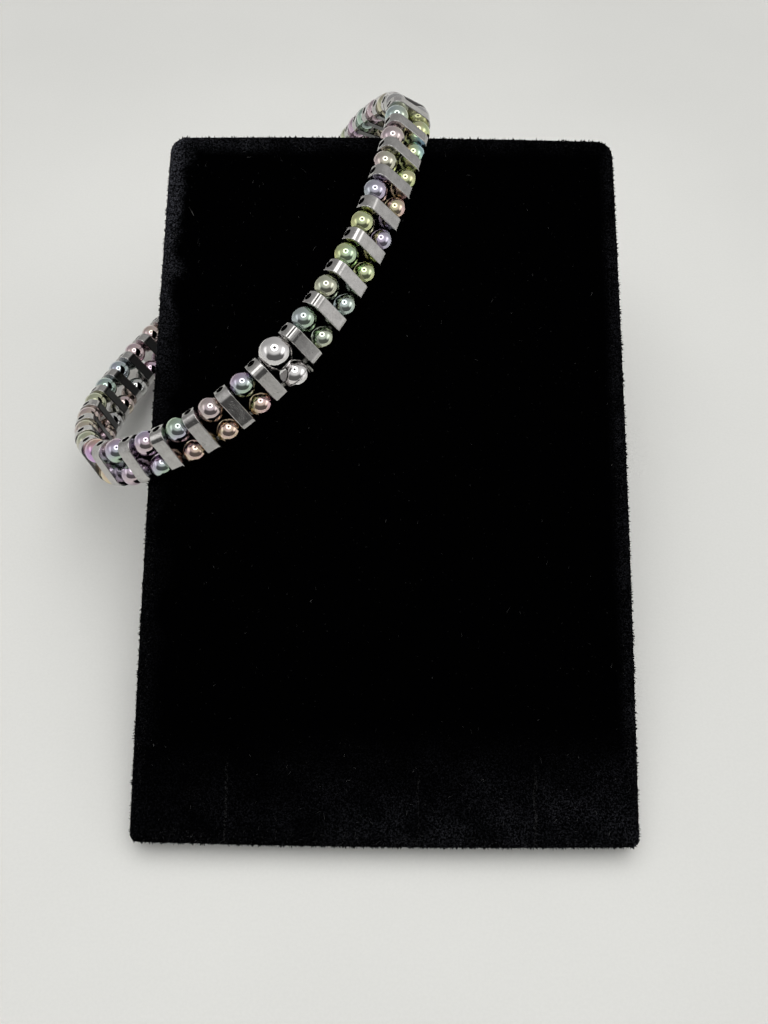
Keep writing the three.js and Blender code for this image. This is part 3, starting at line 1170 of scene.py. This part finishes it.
class BRACELET_OT_prop_leg(bpy.types.Operator):
    """The plain leg behind the board, a slab cut level at its foot and to the board's back."""

    bl_idname = "bracelet.prop_leg"
    bl_label = "Prop leg"

    def execute(self, context):
        middle, axes, half = board_axes()
        points = mesh_arrays(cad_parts["prop_leg"].data)[0]
        behind = (points - middle) @ axes[2]
        near = 0.1 * MM
        foot = points[points[:, 2] < points[:, 2].min() + near].mean(0)
        head = points[behind > behind.max() - near].mean(0)
        wide = np.array([1.0, 0.0, 0.0])
        rise = unit(head - foot)
        leg_axes = np.stack((wide, rise, np.cross(wide, rise)))
        size = np.ptp(points @ leg_axes.T, axis=0) / 2
        # The radii of the leg's upper corners, its lower corners and its edges.
        radii = (1.2 * MM, 0.6 * MM, 0.35 * MM)
        slab = capped_rows(slab_rows(size, *radii, bow=0.0, inner_rows=16))
        local = slab[0]
        placed = (foot + head) / 2 + local @ leg_axes
        past = np.maximum((placed - middle) @ axes[2] - behind.max(), 0)
        placed = placed - past[:, None] * axes[2]
        # All of it looks as the board does half way up, clear of the painted sheen at the edges
        # and foot.
        values = (local[:, 0], np.full(len(local), half[1]))
        material = bpy.data.materials["black_velvet"]
        velvet_piece("leg_covered", slab, placed, *values, material, "prop_leg")
        return {"FINISHED"}


# ---- Stage ----


def pale_table(stage):
    """A pale matt table top with a fine grain, with painted shade that darkens it away from the
    board.
    """
    s, place = new_surface("pale_table")
    grain = s.noise(place, 0.35 * MM, 4.0, 0.6)
    clouds = s.noise(place, 40 * MM, 2.0)
    light = (*stage.table, 1)
    dark = (*[c * 0.87 for c in stage.table], 1)
    away = s.node("ShaderNodeVectorMath", {0: place}, operation="LENGTH").outputs["Value"]
    share = s.math("ADD", s.fade(grain, 0.3, 0.7, 0, 0.2), s.fade(clouds, 0.3, 0.7, 0, 0.2))
    # Painted shade: the light falls off away from the board.
    share = s.math("ADD", share, s.fade(away, 55 * MM, 130 * MM, 0, 0.7))
    return s.principled(
        base_color=s.blend(share, light, dark),
        roughness=0.7,
        specular_ior_level=0.25,
        normal=s.bump(grain, 0.012 * MM),
    )


def light_box(stage):
    """The light round the object: pale walls, a ring lamp overhead, a long lamp high on each
    side and a dark open front. Each is a smooth mask on the direction (x, y, z) of the light.

    The camera itself sees only the plain wall colour.
    """
    world = bpy.data.worlds.new("light_box")
    bpy.context.scene.world = world
    s = Shader(world)
    direction = s.node("ShaderNodeTexCoord").outputs["Generated"]
    x, y, z = s.node("ShaderNodeSeparateXYZ", {0: direction}).outputs
    degree = math.radians(1)
    # The ring lamp, its hole and its edges, as angles from its middle.
    tipped, inner, outer, edge = 6 * degree, 9 * degree, 23 * degree, 1.5 * degree
    middle = (0.02, -math.sin(tipped), math.cos(tipped))
    dot = s.node("ShaderNodeVectorMath", {0: direction, 1: middle}, operation="DOT_PRODUCT")
    from_top = s.math("ARCCOSINE", s.math("MINIMUM", dot.outputs["Value"], 1.0))
    hole = s.fade(from_top, inner + edge, inner)
    ring = s.times(s.fade(from_top, outer, outer - edge), s.fade(from_top, inner, inner + edge))
    # The side lamps, brighter on the right.
    above_table = s.math("ARCTAN2", z, s.math("ABSOLUTE", x))
    lamps = s.times(
        s.fade(s.apart(above_table, 33 * degree), 15 * degree, 2 * degree),
        s.fade(s.apart(y, -0.15), 0.5, 0.15),
        s.fade(x, -0.2, 0.2, 0.6, 1.3),
    )
    # The open front is wider at the top than at the table.
    wide = s.math("MINIMUM", s.math("MULTIPLY_ADD", z, 1.1, 0.68), 0.84)
    inside = s.math("SUBTRACT", wide, s.apart(x, 0.06))
    front = s.times(s.fade(inside, -0.06, 0.06), s.fade(y, 0.0, -0.1), s.fade(z, 0.78, 0.5))
    # The walls are dimmer behind the board and on the left.
    walls = s.math("MULTIPLY_ADD", s.fade(y, -0.2, 0.6), -0.42 * stage.walls, stage.walls)
    walls = s.times(walls, s.fade(x, -0.9, 0.9, 0.85, 1.15))
    dark = s.math("MAXIMUM", front, hole)
    walls = s.math("MULTIPLY_ADD", dark, s.math("SUBTRACT", stage.opening, walls), walls)
    light = s.math("MULTIPLY_ADD", ring, stage.overhead, walls)
    light = s.math("MULTIPLY_ADD", lamps, stage.sides, light)
    # Matt surfaces are lit from overhead, and a little more from the right.
    soft = s.math("POWER", s.fade(z, 0.5, 1.0), 2.0)
    soft = s.times(soft, s.fade(x, -0.7, 0.7, 0.8 * stage.soft, 1.2 * stage.soft))
    path = s.node("ShaderNodeLightPath").outputs
    matt = s.node("ShaderNodeMix", {0: path["Is Diffuse Ray"], 2: light, 3: soft}).outputs[0]
    box = s.node("ShaderNodeBackground", {"Color": (1.0, 0.997, 0.985, 1), "Strength": matt})
    plain = s.node("ShaderNodeBackground", {"Color": (0.74, 0.745, 0.73, 1), "Strength": 1.0})
    seen = path["Is Camera Ray"]
    mixed = s.node("ShaderNodeMixShader", {0: seen, 1: box.outputs[0], 2: plain.outputs[0]})
    s.node("ShaderNodeOutputWorld", {"Surface": mixed.outputs[0]})


class BRACELET_OT_stage(bpy.types.Operator):
    """The pale table, the soft light box and the camera above the front of the board."""

    bl_idname = "bracelet.stage"
    bl_label = "Stage"

    def execute(self, context):
        stage = settings().stage
        reach, level = 3.0, -0.02 * MM  # just under the board's foot
        corners = ((-reach, -reach), (reach, -reach), (reach, reach), (-reach, reach))
        mesh = bpy.data.meshes.new("table_top")
        mesh.from_pydata([(x, y, level) for x, y in corners], [], [(0, 1, 2, 3)])
        mesh.materials.append(pale_table(stage))
        table = bpy.data.objects.new("table_top", mesh)
        context.scene.collection.objects.link(table)
        light_box(stage)
        data = bpy.data.cameras.new("camera")
        data.lens = stage.lens
        data.sensor_width = 36.0  # millimetres, as is the lens
        camera = bpy.data.objects.new("camera", data)
        place = (0.00638, -0.08775, 0.12310)
        forward = Vector((-0.0024, 0.5592, -0.8290)).normalized()
        right = Vector((0.9999, 0.0102, 0.0040))
        right = (right - right.dot(forward) * forward).normalized()
        # Columns: the camera's right, its up, and the way back from what it looks at.
        turn = Matrix((right, right.cross(forward), -forward)).transposed()
        camera.matrix_world = Matrix.Translation(place) @ turn.to_4x4()
        context.scene.collection.objects.link(camera)
        context.scene.camera = camera
        context.scene.view_settings.view_transform = "Standard"
        return {"FINISHED"}


# ---- Panel, registration and the run ----

OPERATORS = (
    BRACELET_OT_stage,
    BRACELET_OT_velvet_board,
    BRACELET_OT_velvet_pile,
    BRACELET_OT_prop_leg,
    BRACELET_OT_spacer_bars,
    BRACELET_OT_beads,
    BRACELET_OT_knot_covers,
    BRACELET_OT_elastics,
)


class BRACELET_PT_pieces(bpy.types.Panel):
    """Lists the pieces of the bracelet and its display in the order in which they are made."""

    bl_idname = "BRACELET_PT_pieces"
    bl_label = "Bracelet"
    bl_space_type = "VIEW_3D"
    bl_region_type = "UI"
    bl_category = "Bracelet"

    def draw(self, context):
        for operator in OPERATORS:
            self.layout.operator(operator.bl_idname)
        for group in ("bead", "bar", "cover", "elastic", "board", "stage"):
            box = self.layout.box()
            box.label(text=group.title())
            values = getattr(context.scene.bracelet, group)
            for name in values.bl_rna.properties.keys():
                if name not in {"rna_type", "name"}:
                    box.prop(values, name)


GROUPS = (
    BeadSettings,
    BarSettings,
    CoverSettings,
    ElasticSettings,
    BoardSettings,
    StageSettings,
    BraceletSettings,
)


def register():
    for made in (*GROUPS, *OPERATORS, BRACELET_PT_pieces):
        bpy.utils.register_class(made)
    bpy.types.Scene.bracelet = PointerProperty(type=BraceletSettings)


def unregister():
    del bpy.types.Scene.bracelet
    for made in reversed((*GROUPS, *OPERATORS, BRACELET_PT_pieces)):
        bpy.utils.unregister_class(made)


def main():
    register()
    bpy.ops.bracelet.stage()
    bpy.ops.bracelet.velvet_board()
    bpy.ops.bracelet.velvet_pile()
    bpy.ops.bracelet.prop_leg()
    bpy.ops.bracelet.spacer_bars()
    bpy.ops.bracelet.beads()
    bpy.ops.bracelet.knot_covers()
    bpy.ops.bracelet.elastics()


if __name__ == "__main__":
    main()
